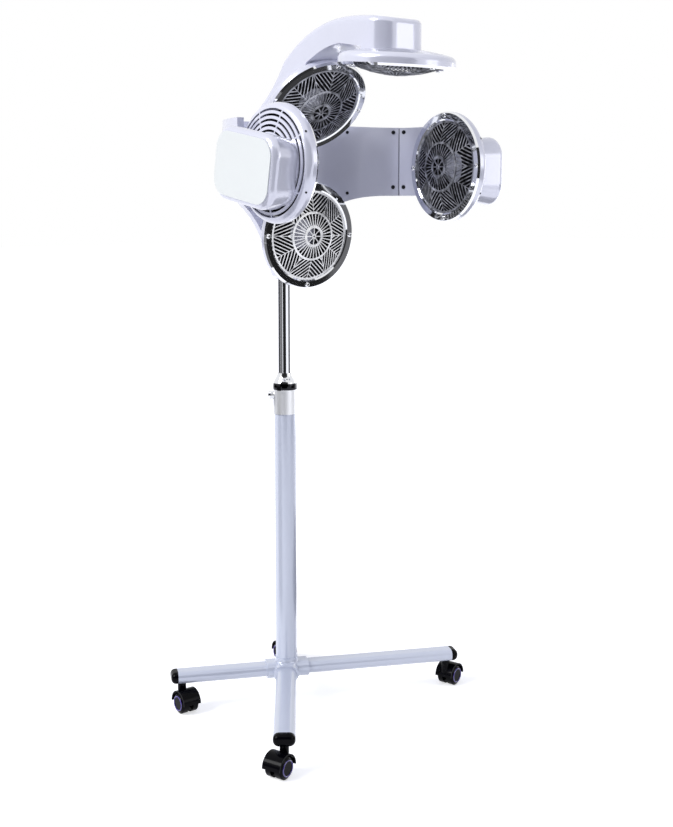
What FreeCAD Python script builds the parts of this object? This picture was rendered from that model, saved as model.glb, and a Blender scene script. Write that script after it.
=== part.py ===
import FreeCAD, Part
import math
import os

import Sketcher
from FreeCAD import Placement, Rotation, Vector

# A hair colour processor: an infrared hood on a wheeled stand.
# Millimetres, +Z up. The origin is on the floor under the column's axis.
# The hood faces -Y and is the same on both sides of the YZ plane.

doc = FreeCAD.newDocument("hair_colour_processor")
sheet = doc.addObject("Spreadsheet::Sheet", "Sizes")


class Size:
    """A length or angle that knows both its value and its spreadsheet formula."""

    def __init__(self, value, text):
        self.value = value
        self.text = text

    def joined(self, other, sign, value):
        return Size(value, "(" + self.text + " " + sign + " " + as_size(other).text + ")")

    def __add__(self, other):
        return self.joined(other, "+", self.value + as_size(other).value)

    def __sub__(self, other):
        return self.joined(other, "-", self.value - as_size(other).value)

    def __mul__(self, other):
        return self.joined(other, "*", self.value * as_size(other).value)

    def __truediv__(self, other):
        return self.joined(other, "/", self.value / as_size(other).value)

    def __neg__(self):
        return Size(-self.value, "(0 - " + self.text + ")")

    def __radd__(self, other):
        return as_size(other) + self

    def __rsub__(self, other):
        return as_size(other) - self

    def __rmul__(self, other):
        return as_size(other) * self


def as_size(number):
    if isinstance(number, Size):
        return number
    return Size(float(number), repr(float(number)))


def size(alias, value):
    """One named cell of the sheet."""
    row = str(len(named) + 1)
    named.append(alias)
    sheet.set("A" + row, alias)
    sheet.set("B" + row, str(value))
    sheet.setAlias("B" + row, alias)
    return Size(float(value), "Sizes." + alias)


named = []

# Stand
column_radius = size("column_radius", 25)
column_wall = size("column_wall", 2)
column_top = size("column_top", 718)
leg_width = size("leg_width", 48)
leg_height = size("leg_height", 28)
leg_wall = size("leg_wall", 1.8)
leg_corner = size("leg_corner", 13)
leg_axis_height = size("leg_axis_height", 82)
front_leg_reach = size("front_leg_reach", 412)
rear_leg_reach = size("rear_leg_reach", 262)
leg_root = size("leg_root", 32)
front_leg_angle = size("front_leg_angle", 50.8)
base_turn = size("base_turn", 15.9)
cap_nose = size("cap_nose", 16)
cap_plug = size("cap_plug", 26)
hub_radius = size("hub_radius", 31)
hub_floor = size("hub_floor", 62)
hub_top = size("hub_top", 97)
hub_lip = size("hub_lip", 112)
hub_scoop = size("hub_scoop", 16)
hub_edge = size("hub_edge", 1.5)
column_foot = size("column_foot", 70)
socket_wall = size("socket_wall", 5)
socket_reach = size("socket_reach", 50)
stem_inset = size("stem_inset", 10)

# Casters
wheel_radius = size("wheel_radius", 25)
wheel_width = size("wheel_width", 18)
wheel_hub = size("wheel_hub", 19.5)
wheel_soft = size("wheel_soft", 4)
wheel_gap = size("wheel_gap", 9)
caster_trail = size("caster_trail", 19)
axle_radius = size("axle_radius", 4)
hood_gap = size("hood_gap", 2)
hood_wall = size("hood_wall", 3)
neck_radius = size("neck_radius", 10)
stem_radius = size("stem_radius", 5.5)
stem_length = size("stem_length", 22)
caster_turns = {
    "front_right": size("caster_turn_front_right", 16.6),
    "front_left": size("caster_turn_front_left", -160),
    "rear_right": size("caster_turn_rear_right", 83.5),
    "rear_left": size("caster_turn_rear_left", -89.6),
}

# Post and its clamp
post_radius = size("post_radius", 16)
post_wall = size("post_wall", 1.5)
post_foot = size("post_foot", 330)
post_head_depth = size("post_head_depth", 168)
guide_length = size("guide_length", 60)
collar_skirt = size("collar_skirt", 16)
collar_wall = size("collar_wall", 2.5)
collar_shoulder = size("collar_shoulder", 34)
collar_throat = size("collar_throat", 40)
lever_angle = size("lever_angle", 143.5)
lever_radius = size("lever_radius", 9)
lever_thick = size("lever_thick", 6)
lever_drop = size("lever_drop", 26)
collar_neck = size("collar_neck", 80)
bush_depth = size("bush_depth", 60)
stud_radius = size("stud_radius", 4)
boss_reach = size("boss_reach", 33)
lever_height = size("lever_height", 27)

# One lamp, the same five times
rim_radius = size("rim_radius", 120)
dish_back_radius = size("dish_back_radius", 108)
dish_depth = size("dish_depth", 34)
dish_shoulder = size("dish_shoulder", 22)
dish_edge = size("dish_edge", 9)
dish_wall = size("dish_wall", 2.5)
dish_lip = size("dish_lip", 106)
lip_thick = size("lip_thick", 3)
dish_bend = size("dish_bend", 14.5)
slot_first = size("slot_first", 105.5)
slot_pitch = size("slot_pitch", 10.5)
slot_width = size("slot_width", 4.6)
slot_rib = size("slot_rib", 3)
bezel_inner = size("bezel_inner", 101)
bezel_thick = size("bezel_thick", 6)
sheet_metal = size("sheet_metal", 1)
grille_seat = size("grille_seat", 104.5)
grille_rise = size("grille_rise", 20)
grille_wire = size("grille_wire", 2.2)
grille_hub = size("grille_hub", 25)
grille_ring = size("grille_ring", 53)
grille_edge = size("grille_edge", 96)
grille_bars = size("grille_bars", 16)
bowl_depth = size("bowl_depth", 23)
bowl_floor = size("bowl_floor", 34)
emitter_radius = size("emitter_radius", 62)
emitter_size = size("emitter_size", 9)
emitter_height = size("emitter_height", 6)
holder_width = size("holder_width", 16)

# Where the five lamps sit
side_x = size("side_x", 219)
side_y = size("side_y", -309)
side_z = size("side_z", 1270)
side_toe = size("side_toe", 3)
lower_y = size("lower_y", -98)
lower_z = size("lower_z", 1119.5)
lower_tilt = size("lower_tilt", 5.7)
upper_y = size("upper_y", -131)
upper_z = size("upper_z", 1400)
upper_tilt = size("upper_tilt", 41.6)
top_y = size("top_y", -406)
top_z = size("top_z", 1467)
top_tilt = size("top_tilt", 95.2)

# Hood body
spine_width = size("spine_width", 130)
spine_back = size("spine_back", 46)
spine_front = size("spine_front", -6)
seat_depth = size("seat_depth", 20)
tail_z = size("tail_z", 1024)
shoulder_low = size("shoulder_low", 1376)
shoulder_bend = size("shoulder_bend", 18)
shoulder_y = size("shoulder_y", 35.9)
shoulder_z = size("shoulder_z", 1392.1)
arm_front = size("arm_front", -437)
nose_top = size("nose_top", 1555.3)
nose_round = size("nose_round", 48)
crown_y = size("crown_y", -300)
crown_z = size("crown_z", 1570)
throat_y = size("throat_y", -84)
throat_z = size("throat_z", 1491.1)
throat_bend = size("throat_bend", 69)
neck_y = size("neck_y", -99.7)
neck_z = size("neck_z", 1506.1)
arm_under_y = size("arm_under_y", -205)
arm_under_z = size("arm_under_z", 1497)
arm_wall = size("arm_wall", 4)
back_bend = size("back_bend", 331.8)
crown_bend = size("crown_bend", 353.4)
arm_bend = size("arm_bend", 700)
arch_bend = size("arch_bend", 250)
arch_y = size("arch_y", -300)
arch_z = size("arch_z", 1517)
arm_seat_y = size("arm_seat_y", -372)
arm_seat_z = size("arm_seat_z", 1504)
waist_high = size("waist_high", 1315)
waist_low = size("waist_low", 1235)
tail_front = size("tail_front", -45)
tail_half = size("tail_half", 38)
tail_back = size("tail_back", 25)
tail_knee = size("tail_knee", 1085)
neck_half = size("neck_half", 20.5)
flank_bend = size("flank_bend", 120)
flank_low = size("flank_low", 1095)
flank_high = size("flank_high", 1174)
slope_low = size("slope_low", 1100)
slope_high = size("slope_high", 1188)
spine_soft = size("spine_soft", 12)
seat_reach = size("seat_reach", 100)
flare_foot_x = size("flare_foot_x", 40)
flare_end_x = size("flare_end_x", 212)
wing_slope_x = size("wing_slope_x", 235)
wing_cut_x = size("wing_cut_x", 330)
ring_centre_y = size("ring_centre_y", -250)
ring_inner = size("ring_inner", 255)
ring_outer = size("ring_outer", 270)
wing_low = size("wing_low", 1208)
wing_high = size("wing_high", 1363)
wing_high_root = size("wing_high_root", 1374)
flare_radius = size("flare_radius", 174)
flare_foot = size("flare_foot", 1061)
hinge_angle = size("hinge_angle", 26.4)
hinge_gap = size("hinge_gap", 0.35)
hinge_relief = size("hinge_relief", 3.5)
ear_top = size("ear_top", 16)
ear_bottom = size("ear_bottom", 11)
pin_radius = size("pin_radius", 3)
pin_fit = size("pin_fit", 0.05)

# Side boxes
box_width = size("box_width", 208)
box_height = size("box_height", 153)
box_drop = size("box_drop", 9)
box_shift = size("box_shift", 5)
left_box_tilt = size("left_box_tilt", 10)
right_box_tilt = size("right_box_tilt", 0)
box_corner = size("box_corner", 48)
box_depth = size("box_depth", 69)
box_flare = size("box_flare", 12)
box_wall = size("box_wall", 3)
box_soft = size("box_soft", 14)
panel_inset = size("panel_inset", 13)
box_face = size("box_face", 8)
board_width = size("board_width", 110)
board_height = size("board_height", 80)
board_thick = size("board_thick", 1.6)
panel_thick = size("panel_thick", 2)

# Rear cover and what is on it
cover_low = size("cover_low", 1196)
cover_high = size("cover_high", 1366)
cover_width = size("cover_width", 96)
cover_corner = size("cover_corner", 8)
cover_thick = size("cover_thick", 3)
cover_seat = size("cover_seat", 1.5)
cover_rim = size("cover_rim", 5)
spine_wall = size("spine_wall", 4)
vent_count = size("vent_count", 5)
vent_pitch = size("vent_pitch", 13)
vent_length = size("vent_length", 62)
vent_width = size("vent_width", 4)
vent_first = size("vent_first", 1294)
inlet_width = size("inlet_width", 27)
inlet_height = size("inlet_height", 20)
inlet_flange = size("inlet_flange", 4.5)
inlet_depth = size("inlet_depth", 20)
inlet_z = size("inlet_z", 1224)
plug_depth = size("plug_depth", 16)
switch_z = size("switch_z", 1264)
rocker_radius = size("rocker_radius", 7)
rocker_length = size("rocker_length", 19)
fit_gap = size("fit_gap", 0.3)


def cos_of(angle):
    angle = as_size(angle)
    return Size(math.cos(math.radians(angle.value)), "cos(" + angle.text + ")")


def sin_of(angle):
    angle = as_size(angle)
    return Size(math.sin(math.radians(angle.value)), "sin(" + angle.text + ")")


def polar(radius, angle):
    return radius * cos_of(angle), radius * sin_of(angle)


# Helpers: bodies, sketches on their origin planes, and the features made from them

def new_body(label, place=None):
    body = doc.addObject("PartDesign::Body", label)
    body.Label = label
    if place:
        body.Placement = place
    return body


def add_sketch(body, plane, name, at=(0, 0, 0), axis=Vector(0, 0, 1), turn=0):
    """A sketch on one of the body's origin planes, moved by `at` and turned about `axis`."""
    sketch = body.newObject("Sketcher::SketchObject", body.Name + "_" + name)
    planes = {feature.Role: feature for feature in body.Origin.OriginFeatures}
    sketch.AttachmentSupport = [(planes[plane], "")]
    sketch.MapMode = "FlatFace"
    at = [as_size(value) for value in at]
    turn = as_size(turn)
    sketch.AttachmentOffset = Placement(
        Vector(at[0].value, at[1].value, at[2].value), Rotation(axis, turn.value or 1e-9)
    )
    for letter, value in zip("xyz", at):
        sketch.setExpression(".AttachmentOffset.Base." + letter, value.text)
    if turn.value:
        sketch.setExpression(".AttachmentOffset.Rotation.Angle", turn.text)
    return sketch


class Drawing:
    """Lines and constraints that go into a sketch together."""

    def __init__(self, sketch):
        self.sketch = sketch
        self.first_line = sketch.GeometryCount
        self.first_rule = sketch.ConstraintCount
        self.lines = []
        self.rules = []
        self.bound = []

    def line(self, shape):
        self.lines.append(shape)
        return self.first_line + len(self.lines) - 1

    def rule(self, *what, value=None):
        if value is None:
            self.rules.append(Sketcher.Constraint(*what))
            return
        value = as_size(value)
        self.bound.append((self.first_rule + len(self.rules), value.text))
        self.rules.append(Sketcher.Constraint(*what, value.value))

    def pin(self, line, end, x, y):
        self.rule("DistanceX", -1, 1, line, end, value=x)
        self.rule("DistanceY", -1, 1, line, end, value=y)

    def finish(self):
        self.sketch.addGeometry(self.lines)
        self.sketch.addConstraint(self.rules)
        for index, text in self.bound:
            self.sketch.setExpression("Constraints[" + str(index) + "]", text)


def circle(sketch, radius, x=0, y=0):
    radius, x, y = as_size(radius), as_size(x), as_size(y)
    drawing = Drawing(sketch)
    line = drawing.line(Part.Circle(Vector(x.value, y.value, 0), Vector(0, 0, 1), radius.value))
    drawing.pin(line, 3, x, y)
    drawing.rule("Radius", line, value=radius)
    drawing.finish()


def outline(sketch, *loops):
    """Closed outlines. A corner may hold a third value, the radius of the arc that leaves it:
    positive where the arc's centre is on the left of the way round, negative on the right."""
    drawing = Drawing(sketch)
    for corners in loops:
        points = [Vector(as_size(c[0]).value, as_size(c[1]).value, 0) for c in corners]
        ends = []
        for i, corner in enumerate(corners):
            start, stop = points[i], points[(i + 1) % len(corners)]
            if len(corner) == 2:
                ends.append((drawing.line(Part.LineSegment(start, stop)), 1, 2))
                continue
            bend = as_size(corner[2])
            left_turn = bend.value > 0
            radius = bend if left_turn else -bend
            chord = stop - start
            left = Vector(-chord.y, chord.x, 0).normalize()
            rise = math.sqrt(max(radius.value**2 - (chord.Length / 2) ** 2, 0))
            centre = (start + stop) * 0.5 + left * (rise if left_turn else -rise)
            first, last = (start, stop) if left_turn else (stop, start)
            a0 = math.atan2(first.y - centre.y, first.x - centre.x)
            a1 = math.atan2(last.y - centre.y, last.x - centre.x)
            whole = Part.Circle(centre, Vector(0, 0, 1), radius.value)
            line = drawing.line(Part.ArcOfCircle(whole, a0, a1))
            ends.append((line, 1, 2) if left_turn else (line, 2, 1))
            drawing.rule("Radius", line, value=radius)
        for i, corner in enumerate(corners):
            line, begin, _ = ends[i]
            before, _, finish = ends[i - 1]
            drawing.rule("Coincident", before, finish, line, begin)
            drawing.pin(line, begin, corner[0], corner[1])
    drawing.finish()


def rounded_box(sketch, width, height, corner, x=0, y=0, tilt=0):
    """A box about (x, y), tilted about that point."""
    right, up = as_size(width) / 2, as_size(height) / 2
    corner = as_size(corner)
    points = [
        (corner - right, -up),
        (right - corner, -up, corner),
        (right, corner - up),
        (right, up - corner, corner),
        (right - corner, up),
        (corner - right, up, corner),
        (-right, up - corner),
        (-right, corner - up, corner),
    ]
    outline(sketch, [(*moved(point, x, y, tilt), *point[2:]) for point in points])


def moved(point, x, y, tilt):
    """The point turned by the tilt about the origin and then moved to (x, y)."""
    across, up = point[:2]
    if as_size(tilt).value == 0:
        return across + x, up + y
    cosine, sine = cos_of(tilt), sin_of(tilt)
    return across * cosine - up * sine + x, across * sine + up * cosine + y


def box_outline(sketch, x0, x1, y0, y1):
    outline(sketch, [(x0, y0), (x1, y0), (x1, y1), (x0, y1)])


def slab(body, sketch, length, name, cut=False, one_side=False):
    """A pad or pocket, as far to one side of its sketch as to the other unless one_side."""
    kind = "PartDesign::Pocket" if cut else "PartDesign::Pad"
    feature = body.newObject(kind, body.Name + "_" + name)
    feature.Profile = sketch
    feature.SideType = "One side" if one_side else "Symmetric"
    length = as_size(length)
    feature.Length = length.value
    feature.setExpression("Length", length.text)
    body.Tip = feature
    return feature


def turned(body, sketch, name, cut=False):
    """A solid, or a cut, turned about the sketch's upright axis."""
    kind = "PartDesign::Groove" if cut else "PartDesign::Revolution"
    feature = body.newObject(kind, body.Name + "_" + name)
    feature.Profile = sketch
    feature.ReferenceAxis = (sketch, ["V_Axis"])
    feature.Angle = 360
    body.Tip = feature
    return feature


def around(body, features, count, name):
    """Copies of features round the body's Z axis."""
    pattern = body.newObject("PartDesign::PolarPattern", body.Name + "_" + name)
    pattern.Originals = features
    axes = {feature.Role: feature for feature in body.Origin.OriginFeatures}
    pattern.Axis = (axes["Z_Axis"], [""])
    pattern.Angle = 360
    count = as_size(count)
    pattern.Occurrences = int(count.value)
    pattern.setExpression("Occurrences", count.text)
    body.Tip = pattern
    return pattern


def rounded(body, feature, edges, radius, name):
    fillet = body.newObject("PartDesign::Fillet", body.Name + "_" + name)
    fillet.Base = (feature, edges)
    radius = as_size(radius)
    fillet.Radius = radius.value
    fillet.setExpression("Radius", radius.text)
    body.Tip = fillet
    return fillet


def edges_at(feature, test):
    """Names of the feature's edges whose every point passes the test."""
    doc.recompute()
    found = []
    for i, edge in enumerate(feature.Shape.Edges):
        points = edge.discretize(5)
        if all(test(point) for point in points):
            found.append("Edge" + str(i + 1))
    return found


def mirrored(source, label):
    twin = doc.addObject("Part::Mirroring", label)
    twin.Label = label
    twin.Source = source
    twin.Normal = Vector(1, 0, 0)
    return twin


def group(label, pieces):
    made = doc.addObject("Part::Compound", label)
    made.Label = label
    made.Links = pieces
    return made


nodes = []

# Where each lamp sits: its Z axis looks at the client, its Y axis is up the lamp

def centre_lamp(y, z, tilt):
    return Placement(Vector(0, y.value, z.value), Rotation(Vector(1, 0, 0), 90 + tilt.value))


right_lamp = Placement(
    Vector(side_x.value, side_y.value, side_z.value),
    Rotation(Vector(0, 0, 1), -90 - side_toe.value) * Rotation(Vector(1, 0, 0), 90),
)
lower_lamp = centre_lamp(lower_y, lower_z, lower_tilt)
upper_lamp = centre_lamp(upper_y, upper_z, upper_tilt)
top_lamp = centre_lamp(top_y, top_z, top_tilt)


# Lamp housing: a shallow round dish with a lip that the chrome bezel is screwed to



crown_drop = dish_depth - dish_shoulder
dish_crown = (dish_back_radius * dish_back_radius + crown_drop * crown_drop) / (crown_drop * 2)
inner_shoulder = (
    dish_back_radius - dish_wall * dish_back_radius / dish_crown,
    dish_wall * (dish_crown - crown_drop) / dish_crown - dish_shoulder,
)


def dish_profile(sketch):
    outline(sketch, [
        (0, -dish_depth, dish_crown),
        (dish_back_radius, -dish_shoulder, dish_bend),
        (rim_radius, -dish_edge),
        (rim_radius, 0),
        (dish_lip, 0),
        (dish_lip, -lip_thick),
        (rim_radius - dish_wall, -lip_thick),
        (rim_radius - dish_wall, -dish_edge, -(dish_bend - dish_wall)),
        (inner_shoulder[0], inner_shoulder[1], -(dish_crown - dish_wall)),
        (0, dish_wall - dish_depth),
    ])


def dish_envelope(sketch):
    """Everything the dish takes up, to clear what it is seated in."""
    outline(sketch, [
        (0, -dish_depth, dish_crown),
        (dish_back_radius, -dish_shoulder, dish_bend),
        (rim_radius, -dish_edge),
        (rim_radius, 0),
        (0, 0),
    ])


# Angles, from the top of the lamp, of the ribs between the cooling slots
rib_angles = [-61, -20.5, 20.5, 61, 124.5, 180, 235.5]
half_turn_rib = 90 / math.pi


def slot(radius, first, last):
    """The outline of one curved slot between two ribs, at this distance from the lamp's axis."""
    inner, outer = radius - slot_width / 2, radius + slot_width / 2
    margin = slot_rib / radius * half_turn_rib
    begin = as_size(90 - last) + margin
    finish = as_size(90 - first) - margin
    start_in, start_out = polar(inner, begin), polar(outer, begin)
    stop_in, stop_out = polar(inner, finish), polar(outer, finish)
    return [
        start_in,
        (start_out[0], start_out[1], outer),
        stop_out,
        (stop_in[0], stop_in[1], -inner),
    ]


def dish():
    body = new_body("dish_form")
    sketch = add_sketch(body, "XZ_Plane", "section")
    dish_profile(sketch)
    turned(body, sketch, "shell")
    slots = add_sketch(body, "XY_Plane", "slots", at=(0, 0, -(dish_depth + dish_shoulder) / 2))
    rows = []
    for row in range(5):
        radius = slot_first - slot_pitch * row
        for i, first in enumerate(rib_angles):
            last = rib_angles[i + 1] if i + 1 < len(rib_angles) else rib_angles[0] + 360
            if row < 2 or first < 61:
                rows.append(slot(radius, first, last))
    outline(slots, *rows)
    slab(body, slots, crown_drop + dish_wall * 4, "cooling", cut=True)
    return body


# Chrome bezel ring

def bezel():
    body = new_body("bezel_form")
    sketch = add_sketch(body, "XZ_Plane", "section")
    outline(sketch, [
        (bezel_inner, 0),
        (rim_radius, 0),
        (rim_radius - bezel_thick / 2, bezel_thick - 1),
        (bezel_inner + 3, bezel_thick - 1),
        (bezel_inner, bezel_thick / 2),
    ])
    turned(body, sketch, "ring")
    return body


# Domed guard of chrome-plated rings and bars

def dome(radius):
    """Height of the guard's dome above the rim at this distance from its axis."""
    part_of_edge = as_size(radius) / grille_edge
    return grille_rise * (1 - part_of_edge * part_of_edge)


def grille():
    body = new_body("grille_form")
    sketch = add_sketch(body, "XZ_Plane", "section")
    half = grille_wire * 0.7
    boss = grille_hub / 3
    outline(sketch, [
        (0, dome(0) - grille_wire),
        (boss, dome(0) - grille_wire),
        (boss, dome(0)),
        (0, dome(0)),
    ])
    for radius in (grille_hub, grille_ring):
        top = dome(radius)
        box_outline(sketch, radius - half, radius + half, top - grille_wire, top)
    box_outline(sketch, grille_edge, grille_seat, -sheet_metal, 0)
    rings = add_sketch(body, "XZ_Plane", "bar")
    dome_radius = (grille_edge * grille_edge + grille_rise * grille_rise) / (grille_rise * 2)
    start = boss / 2
    outline(rings, [
        (start, dome(start) - grille_wire, -dome_radius),
        (grille_edge + 1, -sheet_metal),
        (grille_edge + 1, 0, dome_radius),
        (start, dome(start)),
    ])
    bar = slab(body, rings, grille_wire, "bar_pad")
    around(body, [bar], grille_bars, "bars")
    turned(body, sketch, "rings")
    return body


# Bright reflector bowl behind the guard

def bowl_slope(radius):
    """Height of the bowl's cone at this distance from its axis."""
    drop = (bowl_depth - sheet_metal) / (grille_edge - bowl_floor)
    return -sheet_metal - (grille_edge - radius) * drop


def reflector():
    body = new_body("reflector_form")
    sketch = add_sketch(body, "XZ_Plane", "section")
    outline(sketch, [
        (grille_seat, -sheet_metal),
        (grille_edge, -sheet_metal),
        (bowl_floor, -bowl_depth),
        (bowl_floor, -bowl_depth - sheet_metal),
        (grille_edge, -sheet_metal * 2),
        (grille_seat, -sheet_metal * 2),
    ])
    turned(body, sketch, "bowl")
    return body


# Infrared emitter: a ceramic ring on three feet

def emitter():
    body = new_body("emitter_form")
    feet = add_sketch(body, "XZ_Plane", "foot")
    near, far = emitter_radius - 3, emitter_radius + 3
    sag = holder_width * holder_width / near / 8
    outline(feet, [
        (near, bowl_slope(near + sag)),
        (far, bowl_slope(far + sag)),
        (far, -emitter_height),
        (near, -emitter_height),
    ])
    foot = slab(body, feet, holder_width, "foot_pad")
    around(body, [foot], 3, "feet")
    sketch = add_sketch(body, "XZ_Plane", "section")
    half = emitter_size / 2
    cut = emitter_size / 4
    low, high = -emitter_height - 1, emitter_size - emitter_height - 1
    outline(sketch, [
        (emitter_radius - half, low),
        (emitter_radius + half, low),
        (emitter_radius + half, high - cut),
        (emitter_radius + half - cut, high),
        (emitter_radius - half + cut, high),
        (emitter_radius - half, high - cut),
    ])
    turned(body, sketch, "ring")
    return body


def copy_at(form, label, place):
    """The same piece again at another lamp."""
    made = group(label, [form])
    made.Placement = place
    return made


lamp_forms = {"bezel": bezel(), "grille": grille(), "reflector": reflector(), "emitter": emitter()}
dish_form = dish()


def lamp(name, place):
    return [copy_at(form, name + "_" + part, place) for part, form in lamp_forms.items()]


for name, place in (("lower", lower_lamp), ("upper", upper_lamp), ("top", top_lamp)):
    nodes += lamp(name, place)
nodes.append(copy_at(dish_form, "top_dish", top_lamp))
right_pieces = lamp("right", right_lamp) + [copy_at(dish_form, "right_dish", right_lamp)]


# Hood body: the spine and arm, the roots of both wings, and the cups of two lamps

def seat_point(y, z, tilt, along):
    """A point inside a lamp's back, this far up the lamp from its axis."""
    return (
        y + seat_depth * cos_of(tilt) - along * sin_of(tilt),
        z + seat_depth * sin_of(tilt) + along * cos_of(tilt),
    )


ring_half = (ring_outer - ring_inner) / 2
knuckle_low = wing_low + ear_bottom
knuckle_high = wing_high - ear_top
knuckle_middle = (knuckle_low + knuckle_high) / 2
half_spine = spine_width / 2
hinge_x, hinge_y = polar(ring_inner + ring_half, hinge_angle)
hinge_y = ring_centre_y + hinge_y
lamp_frames = {
    "lower": (lower_y, lower_z, lower_tilt),
    "upper": (upper_y, upper_z, upper_tilt),
}


def hinge_sketch(body, name, side, height):
    """A level sketch at a wing's hinge pin, with its X axis away from the client."""
    turn = hinge_angle if side > 0 else 180 - hinge_angle
    return add_sketch(body, "XY_Plane", name, at=(side * hinge_x, hinge_y, height), turn=turn)


def is_nose_edge(point):
    """True along the two upright edges at the arm's end."""
    return point.y < arm_front.value + 0.01 and abs(point.x) > half_spine.value - 0.01


def is_outer_edge(point):
    """True along the sides of the back and the crown, where the moulding is round."""
    if abs(abs(point.x) - half_spine.value) > 0.01:
        return False
    behind = (spine_back.value - point.y) * 0.75
    on_slope = point.z > shoulder_low.value - 30 + behind
    on_back = point.y > spine_back.value - 0.01
    return on_back or on_slope or point.z > arch_z.value + 3


def spine(body):
    sketch = add_sketch(body, "YZ_Plane", "spine")
    outline(sketch, [
        (spine_back, tail_z),
        (spine_back, shoulder_low, shoulder_bend),
        (shoulder_y, shoulder_z, -back_bend),
        (throat_y, throat_z, throat_bend),
        (neck_y, neck_z, crown_bend),
        (crown_y, crown_z, arm_bend),
        (arm_front, nose_top),
        (arm_front, top_z + seat_depth),
        (arm_seat_y, top_z + seat_depth),
        (arm_seat_y, arm_seat_z),
        (arch_y, arch_z, -arch_bend),
        (arm_under_y, arm_under_z),
        seat_point(upper_y, upper_z, upper_tilt, seat_reach),
        seat_point(upper_y, upper_z, upper_tilt, -seat_reach),
        (spine_front, waist_high),
        (spine_front, waist_low),
        seat_point(lower_y, lower_z, lower_tilt, seat_reach),
        seat_point(lower_y, lower_z, lower_tilt, -seat_reach),
        (tail_front, tail_z),
    ])
    pad = slab(body, sketch, spine_width, "spine_pad")
    nose = rounded(body, pad, edges_at(pad, is_nose_edge), nose_round, "nose_round")
    rounded(body, nose, edges_at(nose, is_outer_edge), spine_soft, "spine_round")


def tail(body):
    """The spine's lower end drawn in, from both sides and from behind, to a neck on the post."""
    flanks = add_sketch(body, "XZ_Plane", "flanks")
    aside = half_spine + 1
    below = tail_z - 1
    loops = []
    for side in (1, -1):
        loops.append([
            (side * aside, flank_high, side * flank_bend),
            (side * tail_half, flank_low),
            (side * tail_half, tail_knee),
            (side * neck_half, below),
            (side * aside, below),
        ])
    outline(flanks, *loops)
    slab(body, flanks, spine_width * 2, "flank_cut", cut=True)
    slope = add_sketch(body, "YZ_Plane", "slope")
    outline(slope, [
        (spine_back + 1, slope_high),
        (tail_back, slope_low),
        (neck_half, below),
        (spine_back + 1, below),
    ])
    slab(body, slope, spine_width + 2, "slope_cut", cut=True)


def wing_roots(body):
    """The band round the client's head, cut to its flare and its hinge knuckles."""
    middle = (wing_high_root + flare_foot) / 2
    band = add_sketch(body, "XY_Plane", "band", at=(0, ring_centre_y, middle))
    inside, outside = polar(ring_inner, hinge_angle), polar(ring_outer, hinge_angle)
    outline(band, [
        inside,
        (outside[0], outside[1], ring_outer),
        (-outside[0], outside[1]),
        (-inside[0], inside[1], -ring_inner),
    ])
    slab(body, band, wing_high_root - flare_foot, "band_pad")
    trims = add_sketch(body, "XZ_Plane", "band_trims")
    aside = half_spine + 1
    loops = []
    for side in (1, -1):
        loops.append([
            (side * flare_foot_x, flare_foot - 1, -side * flare_radius),
            (side * flare_end_x, wing_low),
            (side * wing_cut_x, wing_low),
            (side * wing_cut_x, tail_z),
            (side * flare_foot_x, tail_z),
        ])
        loops.append([
            (side * aside, wing_high_root),
            (side * wing_slope_x, wing_high),
            (side * wing_cut_x, wing_high),
            (side * wing_cut_x, crown_z),
            (side * aside, crown_z),
        ])
    outline(trims, *loops)
    slab(body, trims, ring_outer * 4, "band_trim", cut=True)
    for side, tag in ((1, "r"), (-1, "l")):
        room = hinge_sketch(body, "knuckle_" + tag, side, knuckle_middle)
        circle(room, ring_half + hinge_gap)
        slab(body, room, knuckle_high - knuckle_low, "knuckle_room_" + tag, cut=True)
        bevel = hinge_sketch(body, "bevel_" + tag, side, knuckle_middle)
        outline(bevel, [
            (0, -side * 2),
            (ring_half * 2, -side * 2),
            (ring_half * 2, side * hinge_relief),
            (0, side * hinge_relief),
        ])
        slab(body, bevel, knuckle_high - knuckle_low, "bevel_cut_" + tag, cut=True)
        for low, high, part in ((wing_low, knuckle_low, "low"), (knuckle_high, wing_high, "high")):
            ear = hinge_sketch(body, "ear_" + part + tag, side, (low + high) / 2)
            circle(ear, ring_half)
            slab(body, ear, high - low, "ear_pad_" + part + tag)
            bore = hinge_sketch(body, "ear_bore_" + part + tag, side, (low + high) / 2)
            circle(bore, pin_radius)
            slab(body, bore, high - low, "ear_hole_" + part + tag, cut=True)


def lamp_cups(body):
    """The rear housings of the lower and upper lamps, moulded in one with the spine."""
    for name, (y, z, tilt) in lamp_frames.items():
        at = (y, z, 0)
        cup = add_sketch(body, "YZ_Plane", name + "_cup", at=at, turn=tilt + 90)
        dish_profile(cup)
        turned(body, cup, name + "_cup_turn")
        room = add_sketch(body, "YZ_Plane", name + "_room", at=at, turn=tilt + 90)
        outline(room, [
            (0, dish_wall - dish_depth, dish_crown - dish_wall),
            (inner_shoulder[0], inner_shoulder[1], dish_bend - dish_wall),
            (rim_radius - dish_wall, -dish_edge),
            (rim_radius - dish_wall, -lip_thick),
            (dish_lip, -lip_thick),
            (dish_lip, 0),
            (0, 0),
        ])
        turned(body, room, name + "_room_turn", cut=True)


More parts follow.
